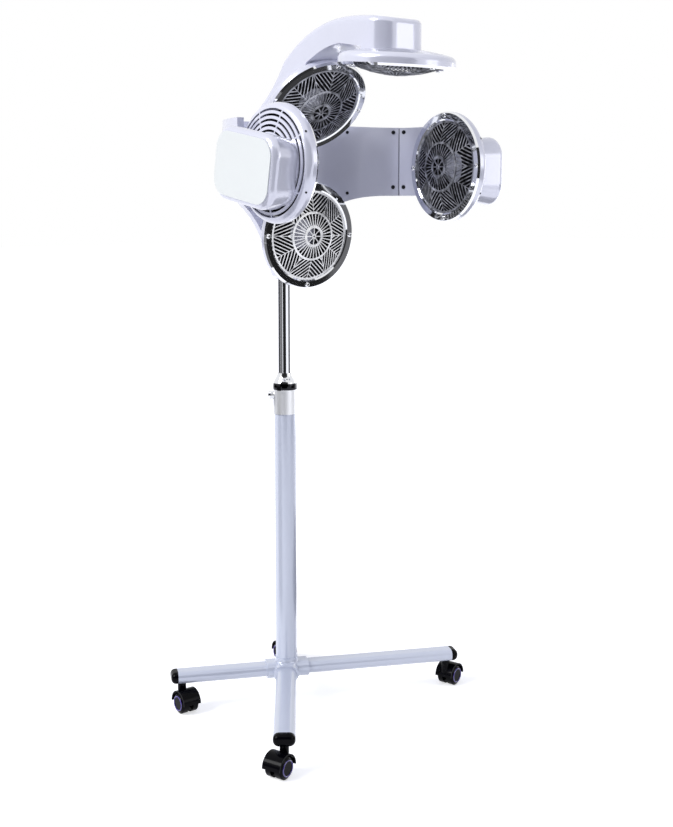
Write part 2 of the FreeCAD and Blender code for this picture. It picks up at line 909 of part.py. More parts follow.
def head_shell():
    body = new_body("head_shell")
    spine(body)
    tail(body)
    wing_roots(body)
    lamp_cups(body)
    seat = add_sketch(body, "YZ_Plane", "top_seat", at=(top_y, top_z, 0), turn=top_tilt + 90)
    dish_envelope(seat)
    turned(body, seat, "top_seat_cut", cut=True)
    bore = add_sketch(body, "XY_Plane", "post_bore", at=(0, 0, tail_z + post_head_depth / 2))
    circle(bore, post_radius + pin_fit)
    slab(body, bore, post_head_depth, "post_hole", cut=True)
    seat = add_sketch(body, "XZ_Plane", "cover_seat", at=(0, 0, -spine_back))
    middle = (cover_low + cover_high) / 2
    tall = cover_high - cover_low
    rounded_box(seat, cover_width + fit_gap, tall + fit_gap, cover_corner, 0, middle)
    slab(body, seat, cover_seat * 2, "cover_recess", cut=True)
    depth = spine_back - spine_front - spine_wall
    room = add_sketch(body, "XZ_Plane", "wiring", at=(0, 0, depth / 2 - spine_back))
    rounded_box(
        room, cover_width - cover_rim * 2, tall - cover_rim * 2, cover_corner, 0, middle
    )
    slab(body, room, depth, "wiring_room", cut=True)
    hollow = add_sketch(body, "YZ_Plane", "arm_hollow")
    mouth = arm_front + nose_round / 2
    outline(hollow, [
        (mouth, top_z + seat_depth),
        (arm_seat_y - arm_wall, top_z + seat_depth),
        (arm_seat_y - arm_wall, arm_seat_z + arm_wall),
        (arch_y, arch_z + arm_wall, -arch_bend),
        (arm_under_y, arm_under_z + arm_wall * 2),
        (neck_y - arm_wall * 4, neck_z + arm_wall, crown_bend),
        (crown_y, crown_z - arm_wall),
        (mouth, nose_top - arm_wall),
    ])
    slab(body, hollow, (half_spine - spine_soft) * 2, "arm_room", cut=True)
    return body


nodes.append(head_shell())


# Hinge pins, a press fit in the ears of the hood

def hinge_pin():
    body = new_body("right_hinge_pin")
    sketch = hinge_sketch(body, "round", 1, (wing_low + wing_high) / 2)
    circle(sketch, pin_radius)
    slab(body, sketch, wing_high - wing_low - 2, "pin")
    return body


right_pin = hinge_pin()
nodes += [right_pin, mirrored(right_pin, "left_hinge_pin")]


# Swinging side arm: the band's end, moulded in one with the box behind a side lamp



def box_sketch(body, name, depth):
    """An upright sketch behind the right lamp, this far behind its rim."""
    x = side_x + depth * cos_of(side_toe)
    y = side_y - depth * sin_of(side_toe)
    return add_sketch(
        body, "YZ_Plane", name, at=(y, side_z, x), axis=Vector(0, 1, 0), turn=-side_toe
    )


def side_arm(name, tilt):
    body = new_body(name)
    box = box_sketch(body, "box", seat_depth)
    width, height = box_width - box_flare * 2, box_height - box_flare * 2
    corner = box_corner - box_flare
    rounded_box(box, width, height, corner, box_shift, -box_drop, tilt)
    block = slab(body, box, box_depth, "box_pad", one_side=True)
    block.TaperAngle = math.degrees(math.atan2(box_flare.value, box_depth.value))
    block.setExpression("TaperAngle", "atan(" + (box_flare / box_depth).text + ")")
    far = (seat_depth + box_depth).value
    outward = right_lamp.Rotation.multVec(Vector(0, 0, -1))

    def on_face(point):
        return abs((point - right_lamp.Base).dot(outward) - far) < 0.01

    rounded(body, block, edges_at(block, on_face), box_soft, "box_round")
    middle = (wing_low + wing_high) / 2
    band = add_sketch(body, "XY_Plane", "band", at=(0, ring_centre_y, middle))
    hidden = 4
    near_in, near_out = polar(ring_inner, hidden), polar(ring_outer, hidden)
    far_in, far_out = polar(ring_inner, hinge_angle), polar(ring_outer, hinge_angle)
    outline(band, [
        near_in,
        (near_out[0], near_out[1], ring_outer),
        far_out,
        (far_in[0], far_in[1], -ring_inner),
    ])
    slab(body, band, wing_high - wing_low, "band_pad")
    for low, high, part in ((wing_low, knuckle_low, "low"), (knuckle_high, wing_high, "high")):
        lap = hinge_gap
        room = hinge_sketch(body, "ear_room_" + part, 1, (low + high) / 2)
        circle(room, ring_half + hinge_gap)
        slab(body, room, high - low + lap * 2, "ear_room_cut_" + part, cut=True)
        bevel = hinge_sketch(body, "ear_bevel_" + part, 1, (low + high) / 2)
        box_outline(bevel, 0, ring_half * 2, -hinge_relief, 2)
        slab(body, bevel, high - low + lap * 2, "ear_bevel_cut_" + part, cut=True)
    barrel = hinge_sketch(body, "barrel", 1, knuckle_middle)
    circle(barrel, ring_half)
    slab(body, barrel, knuckle_high - knuckle_low - hinge_gap * 2, "barrel_pad")
    bore = hinge_sketch(body, "pin_bore", 1, knuckle_middle)
    circle(bore, pin_radius + pin_fit)
    slab(body, bore, knuckle_high - knuckle_low, "pin_hole", cut=True)
    inside = box_depth - box_face
    room = box_sketch(body, "room", seat_depth + inside / 2)
    rounded_box(
        room, width - box_wall * 2, height - box_wall * 2, corner - box_wall,
        box_shift, -box_drop, tilt,
    )
    slab(body, room, inside, "box_room", cut=True)
    spare = add_sketch(
        body, "XY_Plane", "dish_room", at=(side_x, side_y, side_z), turn=90 - side_toe
    )
    dish_envelope(spare)
    turned(body, spare, "dish_room_cut", cut=True)
    return body


def face_panel(name, tilt):
    body = new_body(name, right_lamp)
    depth = seat_depth + box_depth + panel_thick / 2
    sketch = add_sketch(body, "XY_Plane", "face", at=(0, 0, -depth))
    inset = panel_inset * 2
    corner = box_corner - panel_inset
    rounded_box(
        sketch, box_width - inset, box_height - inset, corner, -box_shift, -box_drop, -tilt
    )
    slab(body, sketch, panel_thick, "face_pad")
    return body


for piece in right_pieces:
    nodes += [piece, mirrored(piece, piece.Label.replace("right", "left"))]
nodes.append(side_arm("right_side_arm", right_box_tilt))
nodes.append(face_panel("right_face_panel", right_box_tilt))
nodes.append(mirrored(side_arm("left_arm_form", left_box_tilt), "left_side_arm"))
nodes.append(mirrored(face_panel("left_panel_form", left_box_tilt), "left_face_panel"))


# Control board on the inside of the left box's face, behind the touch panel

def control_board():
    place = Placement(
        Vector(-side_x.value, side_y.value, side_z.value),
        Rotation(Vector(0, 0, 1), 90 + side_toe.value) * Rotation(Vector(1, 0, 0), 90),
    )
    body = new_body("control_board", place)
    depth = seat_depth + box_depth - box_face - board_thick / 2
    sketch = add_sketch(body, "XY_Plane", "board", at=(0, 0, -depth))
    rounded_box(sketch, board_width, board_height, 3, box_shift, -box_drop, left_box_tilt)
    slab(body, sketch, board_thick, "board_pad")
    return body


nodes.append(control_board())


# Rear cover with its cooling slots, mains inlet and power switch

def rear_cover():
    body = new_body("rear_cover")
    outer = spine_back - cover_seat + cover_thick / 2
    middle = (cover_low + cover_high) / 2
    plate = add_sketch(body, "XZ_Plane", "plate", at=(0, 0, -outer))
    rounded_box(plate, cover_width, cover_high - cover_low, cover_corner, 0, middle)
    slab(body, plate, cover_thick, "plate_pad")
    cuts = add_sketch(body, "XZ_Plane", "cuts", at=(0, 0, -outer))
    half_length, half_width = vent_length / 2, vent_width / 2
    loops = []
    for i in range(int(vent_count.value)):
        z = vent_first + vent_pitch * i
        loops.append([
            (-half_length, z - half_width),
            (half_length, z - half_width),
            (half_length, z + half_width),
            (-half_length, z + half_width),
        ])
    for x, tall, z in (
        (inlet_width / 2 + fit_gap, inlet_height / 2 + fit_gap, inlet_z),
        (rocker_length / 2 + fit_gap, rocker_radius + fit_gap, switch_z),
    ):
        loops.append([(-x, z - tall), (x, z - tall), (x, z + tall), (-x, z + tall)])
    outline(cuts, *loops)
    slab(body, cuts, cover_thick * 2, "openings", cut=True)
    return body


def power_inlet():
    body = new_body("power_inlet")
    face = spine_back - cover_seat + cover_thick
    flange = add_sketch(body, "XZ_Plane", "flange", at=(0, 0, -face - panel_thick / 2))
    rounded_box(
        flange, inlet_width + inlet_flange * 2, inlet_height + inlet_flange * 2, 3, 0, inlet_z
    )
    slab(body, flange, panel_thick, "flange_pad")
    barrel = add_sketch(body, "XZ_Plane", "barrel", at=(0, 0, inlet_depth / 2 - face))
    rounded_box(barrel, inlet_width, inlet_height, 2, 0, inlet_z)
    slab(body, barrel, inlet_depth, "barrel_pad")
    outer = face + panel_thick
    socket = add_sketch(body, "XZ_Plane", "socket", at=(0, 0, plug_depth / 2 - outer))
    rounded_box(socket, inlet_width - 3, inlet_height - 4.5, 2, 0, inlet_z)
    slab(body, socket, plug_depth, "socket_room", cut=True)
    pins = add_sketch(body, "XZ_Plane", "pins", at=(0, 0, plug_depth / 2 + 2 - outer))
    loops = []
    for x, z in ((-7, -1), (0, 2.5), (7, -1)):
        loops.append([
            (x - 1, inlet_z + z - 2), (x + 1, inlet_z + z - 2),
            (x + 1, inlet_z + z + 2), (x - 1, inlet_z + z + 2),
        ])
    outline(pins, *loops)
    slab(body, pins, plug_depth, "pin_pad")
    return body


def power_rocker():
    body = new_body("power_rocker")
    pivot = spine_back - cover_seat + cover_thick / 2
    sketch = add_sketch(body, "YZ_Plane", "round")
    circle(sketch, rocker_radius, pivot, switch_z)
    slab(body, sketch, rocker_length, "round_pad")
    notch = add_sketch(body, "YZ_Plane", "notch")
    outline(notch, [
        (pivot + rocker_radius / 2, switch_z),
        (pivot + rocker_radius * 2, switch_z - rocker_radius * 2 / 3),
        (pivot + rocker_radius * 2, switch_z + rocker_radius * 2 / 3),
    ])
    slab(body, notch, rocker_length, "notch_cut", cut=True)
    return body


nodes += [rear_cover(), power_inlet(), power_rocker()]


# Stand: cast hub, four flat-oval legs with end caps, column

front_angle = base_turn - 90
legs = {
    "front_right": (front_angle + front_leg_angle, front_leg_reach),
    "front_left": (front_angle - front_leg_angle, front_leg_reach),
    "rear_right": (front_angle - front_leg_angle + 180, rear_leg_reach),
    "rear_left": (front_angle + front_leg_angle + 180, rear_leg_reach),
}


def base_hub():
    body = new_body("base_hub")
    sketch = add_sketch(body, "XZ_Plane", "section")
    outline(sketch, [
        (0, hub_floor),
        (hub_radius, hub_floor),
        (hub_radius, hub_top, -hub_scoop),
        (column_radius + hub_edge, hub_lip),
        (0, hub_lip),
    ])
    turned(body, sketch, "core")
    for name, (angle, _) in legs.items():
        for part, width, tall, near, cut in (
            ("sleeve", leg_width + socket_wall * 2, leg_height + socket_wall * 2, 10, False),
            ("bore", leg_width, leg_height, leg_root, True),
        ):
            stop = socket_reach + (1 if cut else 0)
            run = (stop + near) / 2
            end = add_sketch(
                body, "YZ_Plane", part + "_" + name,
                at=(run * sin_of(angle), leg_axis_height, run * cos_of(angle)),
                axis=Vector(0, 1, 0), turn=angle,
            )
            corner = leg_corner + (0 if cut else socket_wall)
            rounded_box(end, width, tall, corner)
            if not cut:
                slab(body, end, stop - near, part + "_pad_" + name)
    for name, (angle, _) in legs.items():
        bore = doc.getObject("base_hub_bore_" + name)
        slab(body, bore, socket_reach + 1 - leg_root, "bore_cut_" + name, cut=True)
    well = add_sketch(body, "XY_Plane", "well", at=(0, 0, (column_foot + hub_lip) / 2))
    circle(well, column_radius)
    slab(body, well, hub_lip - column_foot, "column_well", cut=True)
    return body


def leg_form(name, reach):
    """A leg along +X from the column's axis, with its centre line at the origin's height."""
    body = new_body(name + "_leg_form")
    tube = add_sketch(body, "YZ_Plane", "tube", at=(0, 0, (leg_root + reach) / 2))
    rounded_box(tube, leg_width, leg_height, leg_corner)
    rounded_box(
        tube, leg_width - leg_wall * 2, leg_height - leg_wall * 2, leg_corner - leg_wall
    )
    slab(body, tube, reach - leg_root, "tube_pad")
    hole = add_sketch(body, "XY_Plane", "stem", at=(0, 0, -leg_height / 2))
    circle(hole, stem_radius + fit_gap, reach - stem_inset)
    slab(body, hole, leg_height / 2, "stem_hole", cut=True)
    return body


def cap_form():
    """A leg's end cap, from the end of the tube along +X."""
    body = new_body("cap_form")
    nose = add_sketch(body, "YZ_Plane", "nose")
    rounded_box(nose, leg_width, leg_height, leg_corner)
    block = slab(body, nose, cap_nose, "nose_pad", one_side=True)
    end = cap_nose.value
    tip = edges_at(block, lambda point: point.x > end - 0.01)
    rounded(body, block, tip, leg_corner - leg_wall, "nose_round")
    plug = add_sketch(body, "YZ_Plane", "plug", at=(0, 0, -cap_plug / 2))
    rounded_box(
        plug, leg_width - leg_wall * 2, leg_height - leg_wall * 2, leg_corner - leg_wall
    )
    slab(body, plug, cap_plug, "plug_pad")
    hole = add_sketch(body, "XY_Plane", "stem", at=(0, 0, stem_length / 2 - leg_height / 2))
    circle(hole, stem_radius + pin_fit, -stem_inset)
    slab(body, hole, stem_length, "stem_hole", cut=True)
    return body


def column():
    body = new_body("column")
    sketch = add_sketch(body, "XY_Plane", "tube", at=(0, 0, (column_foot + column_top) / 2))
    circle(sketch, column_radius)
    circle(sketch, column_radius - column_wall)
    slab(body, sketch, column_top - column_foot, "tube_pad")
    return body


nodes += [base_hub(), column()]
front_form, rear_form = leg_form("front", front_leg_reach), leg_form("rear", rear_leg_reach)
end_form = cap_form()
for name, (angle, reach) in legs.items():
    turn = Rotation(Vector(0, 0, 1), angle.value)
    foot = Vector(0, 0, leg_axis_height.value)
    form = front_form if name.startswith("front") else rear_form
    nodes.append(copy_at(form, "leg_" + name, Placement(foot, turn)))
    end = foot + turn.multVec(Vector(reach.value, 0, 0))
    nodes.append(copy_at(end_form, "leg_cap_" + name, Placement(end, turn)))


# Casters: a hooded swivel frame and a pair of wheels on one shaft

web_half = wheel_gap / 2 - fit_gap
hood_outer = wheel_radius + hood_gap + hood_wall
caster_half = wheel_gap / 2 + wheel_width


def caster_frame():
    body = new_body("caster_frame_form")
    hood = add_sketch(body, "XZ_Plane", "hood")
    circle(hood, hood_outer, caster_trail, wheel_radius)
    slab(body, hood, caster_half * 2, "hood_pad")
    below = add_sketch(body, "XZ_Plane", "below")
    box_outline(
        below, caster_trail - hood_outer * 2, caster_trail + hood_outer * 2,
        wheel_radius - hood_outer * 2, wheel_radius,
    )
    slab(body, below, caster_half * 3, "lower_half_cut", cut=True)
    top = leg_axis_height - leg_height / 2 - fit_gap
    for part, radius, low, high in (
        ("neck", neck_radius, wheel_radius + hood_gap, top),
        ("stem", stem_radius, top - 1, top + stem_length - 2),
    ):
        sketch = add_sketch(body, "XY_Plane", part, at=(0, 0, (low + high) / 2))
        circle(sketch, radius)
        slab(body, sketch, high - low, part + "_pad")
    for side, tag in ((1, "right"), (-1, "left")):
        width = wheel_width + neck_radius
        at = (0, 0, side * (web_half + width / 2))
        room = add_sketch(body, "XZ_Plane", "wheel_" + tag, at=at)
        circle(room, wheel_radius + hood_gap, caster_trail, wheel_radius)
        slab(body, room, width, "wheel_room_" + tag, cut=True)
    boss = add_sketch(body, "XZ_Plane", "boss")
    circle(boss, axle_radius * 2, caster_trail, wheel_radius)
    slab(body, boss, web_half * 2, "boss_pad")
    bore = add_sketch(body, "XZ_Plane", "bore")
    circle(bore, axle_radius + pin_fit, caster_trail, wheel_radius)
    slab(body, bore, caster_half * 2, "bore_cut", cut=True)
    return body


def caster_wheels():
    body = new_body("caster_wheels_form")
    sketch = add_sketch(body, "XY_Plane", "section")
    inner = wheel_gap / 2
    outer = inner + wheel_width
    outline(sketch, [
        (0, -outer),
        (wheel_hub, -outer),
        (wheel_radius, wheel_soft - outer),
        (wheel_radius, -inner - 1),
        (axle_radius, -inner),
        (axle_radius, inner),
        (wheel_radius, inner + 1),
        (wheel_radius, outer - wheel_soft),
        (wheel_hub, outer),
        (0, outer),
    ])
    turned(body, sketch, "wheels")
    return body


frame_form, wheels_form = caster_frame(), caster_wheels()
hub_place = Placement(Vector(caster_trail.value, 0, wheel_radius.value), Rotation())
for name, (angle, reach) in legs.items():
    x, y = polar(reach - stem_inset, angle)
    turn = Rotation(Vector(0, 0, 1), caster_turns[name].value)
    place = Placement(Vector(x.value, y.value, 0), turn)
    nodes.append(copy_at(frame_form, "caster_frame_" + name, place))
    nodes.append(copy_at(wheels_form, "caster_wheels_" + name, place * hub_place))


# Post, its guide and bush, and the clamp collar with its lever

def sleeve(label, outer, inner, low, high):
    body = new_body(label)
    sketch = add_sketch(body, "XY_Plane", "round", at=(0, 0, (low + high) / 2))
    circle(sketch, outer)
    circle(sketch, inner)
    slab(body, sketch, high - low, "pad")
    return body


collar_top = column_top + collar_neck


def clamp_collar():
    body = new_body("clamp_collar")
    sketch = add_sketch(body, "XZ_Plane", "section")
    inner = post_radius + fit_gap
    outline(sketch, [
        (column_radius, column_top - collar_skirt),
        (column_radius + collar_wall, column_top - collar_skirt),
        (column_radius + collar_wall, column_top + collar_neck / 2, collar_shoulder),
        (inner + 5, collar_top - 12, -collar_throat),
        (inner + 1, collar_top),
        (inner, collar_top),
        (inner, column_top),
        (column_radius, column_top),
    ])
    turned(body, sketch, "shell")
    boss = side_sketch(body, "boss", (post_radius + boss_reach) / 2)
    circle(boss, lever_radius)
    slab(body, boss, boss_reach - post_radius, "boss_pad")
    bore = add_sketch(body, "XY_Plane", "bore", at=(0, 0, column_top + collar_neck / 2))
    circle(bore, inner)
    slab(body, bore, collar_neck, "post_hole", cut=True)
    stud = side_sketch(body, "stud", (post_radius + boss_reach) / 2)
    circle(stud, stud_radius + pin_fit)
    slab(body, stud, boss_reach - post_radius + 1, "stud_hole", cut=True)
    return body


def side_sketch(body, name, run):
    """An upright sketch square to the clamp screw, this far from the column's axis."""
    return add_sketch(
        body, "YZ_Plane", name,
        at=(run * sin_of(lever_angle), column_top + lever_height, run * cos_of(lever_angle)),
        axis=Vector(0, 1, 0), turn=lever_angle,
    )


def clamp_lever():
    body = new_body("clamp_lever")
    run = boss_reach + fit_gap + lever_thick / 2
    sketch = side_sketch(body, "hub", run)
    circle(sketch, lever_radius)
    slab(body, sketch, lever_thick, "hub_pad")
    tip = post_radius + fit_gap
    stud = side_sketch(body, "stud", (tip + run) / 2)
    circle(stud, stud_radius)
    slab(body, stud, run - tip, "stud_pad")
    handle = side_sketch(body, "handle", run)
    outline(handle, [
        (-lever_radius, 0),
        (-lever_radius / 3, -lever_drop, lever_radius),
        (lever_radius / 3, -lever_drop),
        (lever_radius, 0),
    ])
    slab(body, handle, lever_thick, "handle_pad")
    return body


post_top = tail_z + post_head_depth
tube_bore = column_radius - column_wall
nodes += [
    sleeve("post", post_radius, post_radius - post_wall, post_foot, post_top),
    sleeve("post_guide", tube_bore - pin_fit, post_radius, post_foot, post_foot + guide_length),
    sleeve("column_bush", tube_bore, post_radius + pin_fit, column_top - bush_depth, column_top),
    clamp_collar(),
    clamp_lever(),
]

# Checks and files

doc.recompute()
for item in doc.Objects:
    if "Invalid" in item.State or "Error" in item.State:
        raise RuntimeError(item.Label + " failed: " + str(item.State))
os.makedirs("parts", exist_ok=True)
for item in nodes:
    if item.Shape.isNull() or not item.Shape.isValid():
        raise RuntimeError(item.Label + " has no valid shape")
for item in nodes:
    item.Shape.exportStep("parts/" + item.Label + ".step")
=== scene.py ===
import bpy
import math
from mathutils import Matrix, Vector


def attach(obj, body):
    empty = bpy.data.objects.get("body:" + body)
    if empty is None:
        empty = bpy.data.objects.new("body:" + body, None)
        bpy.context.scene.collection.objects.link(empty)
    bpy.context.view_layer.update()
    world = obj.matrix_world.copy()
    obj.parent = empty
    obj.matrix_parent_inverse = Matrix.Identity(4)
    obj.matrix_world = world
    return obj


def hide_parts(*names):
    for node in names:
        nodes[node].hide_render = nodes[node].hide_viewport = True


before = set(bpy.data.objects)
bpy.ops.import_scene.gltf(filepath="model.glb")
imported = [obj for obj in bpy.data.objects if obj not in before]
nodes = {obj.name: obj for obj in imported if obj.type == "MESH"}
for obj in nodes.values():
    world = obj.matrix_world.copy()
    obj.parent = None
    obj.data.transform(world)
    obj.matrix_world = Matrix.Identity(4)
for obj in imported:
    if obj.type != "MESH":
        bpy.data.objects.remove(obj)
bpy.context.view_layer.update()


# Hood, side arms and lamp dishes. Injection-moulded ABS, white with a cool lavender cast,
# polished on the outside and left with a faint moulded grain that only shows close up.
# The hood is one shell; the side arms hang on steel pins and the dishes are screwed on.

def noise(tree, place, scale, detail):
    """A noise that sits still on the piece."""
    made = tree.nodes.new("ShaderNodeTexNoise")
    made.inputs["Scale"].default_value = scale
    made.inputs["Detail"].default_value = detail
    tree.links.new(place.outputs["Object"], made.inputs["Vector"])
    return made


def surface(name, colour, roughness, metallic=0.0, scale=9.0, mottle=0.04, grain=0.015, also=None):
    """A finish whose tone and gloss wander a little over the piece, over a fine grain.

    What is in also goes on the shader's own sockets.
    """
    grain_scale, grain_depth, gloss_wander = 1400, 0.0004, 0.2
    made = bpy.data.materials.new(name)
    made.use_nodes = True
    tree = made.node_tree
    skin = tree.nodes["Principled BSDF"]
    skin.inputs["Metallic"].default_value = metallic
    for socket, value in (also or {}).items():
        skin.inputs[socket].default_value = value
    place = tree.nodes.new("ShaderNodeTexCoord")
    slow = noise(tree, place, scale, 3)
    tone = tree.nodes.new("ShaderNodeValToRGB")
    low, high = tone.color_ramp.elements
    low.position, high.position = 0.3, 0.7
    low.color = (*[c * (1 - mottle) for c in colour], 1)
    high.color = (*colour, 1)
    tree.links.new(slow.outputs["Fac"], tone.inputs["Fac"])
    tree.links.new(tone.outputs["Color"], skin.inputs["Base Color"])
    gloss = tree.nodes.new("ShaderNodeMapRange")
    gloss.inputs["To Min"].default_value = roughness * (1 - gloss_wander)
    gloss.inputs["To Max"].default_value = roughness * (1 + gloss_wander)
    tree.links.new(slow.outputs["Fac"], gloss.inputs["Value"])
    tree.links.new(gloss.outputs["Result"], skin.inputs["Roughness"])
    fine = noise(tree, place, grain_scale, 2)
    relief = tree.nodes.new("ShaderNodeBump")
    relief.inputs["Strength"].default_value = grain
    relief.inputs["Distance"].default_value = grain_depth
    tree.links.new(fine.outputs["Fac"], relief.inputs["Height"])
    tree.links.new(relief.outputs["Normal"], skin.inputs["Normal"])
    return made


def dress(material, *names):
    """Gives CAD nodes their finish."""
    for name in names:
        nodes[name].data.materials.clear()
        nodes[name].data.materials.append(material)


white_abs = surface(
    "white_abs", (0.79, 0.80, 0.91), 0.22, metallic=0.28,
    also={"Coat Weight": 0.6, "Coat Roughness": 0.07},
)
dress(white_abs, "head_shell", "left_side_arm", "right_side_arm")
dress(white_abs, "left_dish", "right_dish", "top_dish")


# Face panels of the two side boxes. A thin cast acrylic plate, pale and glossy, bonded into
# the box with a hairline round it. The left one hides the touch keys and their circuit
# board, a glass-fibre plate under green solder mask.

pale_acrylic = surface(
    "pale_acrylic", (0.87, 0.90, 0.875), 0.14, mottle=0.02, grain=0.004,
    also={"Coat Weight": 0.8, "Coat Roughness": 0.05},
)
dress(pale_acrylic, "left_face_panel", "right_face_panel")

solder_mask = surface("solder_mask", (0.03, 0.16, 0.07), 0.35, mottle=0.3)
dress(solder_mask, "control_board")


# Lamp bezels. Spun brass rings, chrome plated, each held on the dish's lip by four cross
# recessed screws. The plating is a mirror with a trace of polishing swirl.

def ending(word):
    """The CAD nodes whose names end in a word."""
    return [name for name in nodes if name.endswith(word)]


chrome = surface(
    "chrome_plate", (0.86, 0.87, 0.90), 0.05, metallic=1.0, mottle=0.06, grain=0.006
)
dress(chrome, *ending("_bezel"))


def lamp_place(x, y, z, turn, tilt):
    """A lamp's frame: its Z axis looks at the client and its Y axis is up the lamp."""
    facing = Matrix.Rotation(math.radians(turn), 4, "Z")
    tilted = Matrix.Rotation(math.radians(90 + tilt), 4, "X")
    return Matrix.Translation((x, y, z)) @ facing @ tilted


lamps = {
    "right": (lamp_place(0.219, -0.309, 1.27, -93, 0), "right_arm"),
    "left": (lamp_place(-0.219, -0.309, 1.27, 93, 0), "left_arm"),
    "lower": (lamp_place(0, -0.098, 1.1195, 0, 5.7), "hood"),
    "upper": (lamp_place(0, -0.131, 1.4, 0, 41.6), "hood"),
    "top": (lamp_place(0, -0.406, 1.467, 0, 95.2), "hood"),
}


def edit(obj):
    """Opens a mesh for modelling with nothing in it selected."""
    bpy.ops.object.select_all(action="DESELECT")
    bpy.context.view_layer.objects.active = obj
    obj.select_set(True)
    bpy.ops.object.mode_set(mode="EDIT")
    bpy.ops.mesh.select_all(action="DESELECT")


def pick(obj, kind, wanted):
    """Selects the faces or edges that pass a test, in edit mode."""
    bpy.ops.mesh.select_mode(type=kind)
    bpy.ops.mesh.select_all(action="DESELECT")
    bpy.ops.object.mode_set(mode="OBJECT")
    for part in obj.data.polygons if kind == "FACE" else obj.data.edges:
        part.select = wanted(part)
    bpy.ops.object.mode_set(mode="EDIT")


def done(obj, angle=35):
    """Back to object mode, with its place in its mesh and its soft edges shaded smooth."""
    if obj.mode == "EDIT":
        bpy.ops.object.mode_set(mode="OBJECT")
    bpy.ops.object.select_all(action="DESELECT")
    obj.select_set(True)
    bpy.context.view_layer.objects.active = obj
    bpy.ops.object.transform_apply(location=True, rotation=True, scale=True)
    bpy.ops.object.shade_smooth_by_angle(angle=math.radians(angle))
    obj.select_set(False)
    return obj


def copied(obj, name, places):
    """One object of copies of a mesh, each set at its own place."""
    made = []
    for place in places:
        twin = bpy.data.objects.new(name, obj.data.copy())
        bpy.context.scene.collection.objects.link(twin)
        twin.data.transform(place)
        made.append(twin)
    bpy.ops.object.select_all(action="DESELECT")
    for twin in made:
        twin.select_set(True)
    bpy.context.view_layer.objects.active = made[0]
    if len(made) > 1:
        bpy.ops.object.join()
    whole = bpy.context.view_layer.objects.active
    whole.name = name
    whole.select_set(False)
    return whole


def finished(obj, material, body):
    """Gives the piece its material and the body it moves with."""
    obj.data.materials.clear()
    obj.data.materials.append(material)
    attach(obj, body)
    return obj


def remove(obj):
    """Takes away a shape that was only a form for others."""
    bpy.data.objects.remove(obj, do_unlink=True)


def blank(name, add, **sizes):
    """A primitive to shape, added with nothing else selected."""
    bpy.ops.object.select_all(action="DESELECT")
    add(**sizes)
    bpy.context.object.name = name
    return bpy.context.object


def screw_blank(name, radius, height):
    """A round blank for a screw head, standing on Z = 0."""
    add, foot = bpy.ops.mesh.primitive_cylinder_add, (0, 0, height / 2)
    return blank(name, add, vertices=24, radius=radius, depth=height, location=foot)


def pan_screw(name, radius, height):
    """A domed screw head with a cross recess, standing on Z = 0."""
    dome, recess = height * 0.55, (radius * 1.15, radius * 0.26, height * 0.9)
    head = screw_blank(name, radius, height)
    edit(head)
    pick(head, "FACE", lambda face: face.normal.z > 0.9)
    bpy.ops.mesh.bevel(offset=dome, segments=3, affect="EDGES")
    done(head)
    cutters = []
    for turn in (0, 90):
        add = bpy.ops.mesh.primitive_cube_add
        cutter = blank("recess_form", add, size=1, location=(0, 0, height))
        cutter.scale = recess
        cutter.rotation_euler = (0, 0, math.radians(turn))
        done(cutter)
        cutters.append(cutter)
    for cutter in cutters:
        cut = head.modifiers.new("recess", "BOOLEAN")
        cut.object = cutter
        cut.operation = "DIFFERENCE"
        bpy.context.view_layer.objects.active = head
        bpy.ops.object.modifier_apply(modifier=cut.name)
        remove(cutter)
    return done(head, 30)


screw_ring, bezel_face, screw_radius, screw_height = 0.1115, 0.005, 0.005, 0.0028
bezel_screw = pan_screw("bezel_screw_form", screw_radius, screw_height)
for name, (place, body) in lamps.items():
    spots = []
    for turn in (0, 90, 180, 270):
        out = Matrix.Rotation(math.radians(turn), 4, "Z")
        spots.append(place @ out @ Matrix.Translation((screw_ring, 0, bezel_face)))
    screws = copied(bezel_screw, name + "_bezel_screws", spots)
    finished(screws, chrome, body)
remove(bezel_screw)


# Lamp guards. Pressed steel with a bright plating: a spoked hub, a fan of fine radial bars
# out to a flat ring, then twelve fields of parallel bars that lean alternately left and right,
# all domed towards the client and welded to the rim ring. The five guards are the same part:
# the lower one keeps the bright plating, and the other four get a darker, blotchier copy of
# it that is painted shade with painted glints.

guard_edge, guard_rise = 0.0975, 0.020
hub_ring, fan_ring, guard_skin = 0.0225, 0.0525, 0.0012
fan_bars, hub_spoke_count, fields, field_pitch, field_lean = 34, 8, 12, 0.0072, 38
fan_width, field_width, spoke_width, divider_width = 0.0022, 0.0020, 0.0022, 0.0014


def guard_height(x, y):
    """How far the guard stands out of the rim's plane."""
    return guard_rise * (1 - (x * x + y * y) / (guard_edge * guard_edge))


def flat_ring(name, inner, outer, thick, sides):
    """A flat ring about Z, inset from a disc and bridged through."""
    add = bpy.ops.mesh.primitive_cylinder_add
    ring = blank(name, add, vertices=sides, radius=outer, depth=thick, end_fill_type="NGON")
    edit(ring)
    pick(ring, "FACE", lambda face: abs(face.normal.z) > 0.9)
    bpy.ops.mesh.inset(thickness=(outer - inner) * math.cos(math.pi / sides))
    bpy.ops.mesh.bridge_edge_loops()
    return done(ring)


def bar(name, length, width, thick, cuts):
    """A straight bar from the origin along X, with enough cuts to follow the dome."""
    made = blank(name, bpy.ops.mesh.primitive_cube_add, size=1, location=(length / 2, 0, 0))
    made.scale = (length, width, thick)
    done(made)
    edit(made)
    corner = made.data.vertices

    def runs_along(edge):
        first, last = edge.vertices
        return abs(corner[first].co.x - corner[last].co.x) > length / 2

    pick(made, "EDGE", runs_along)
    if cuts:
        bpy.ops.mesh.subdivide(number_cuts=cuts)
    return done(made)


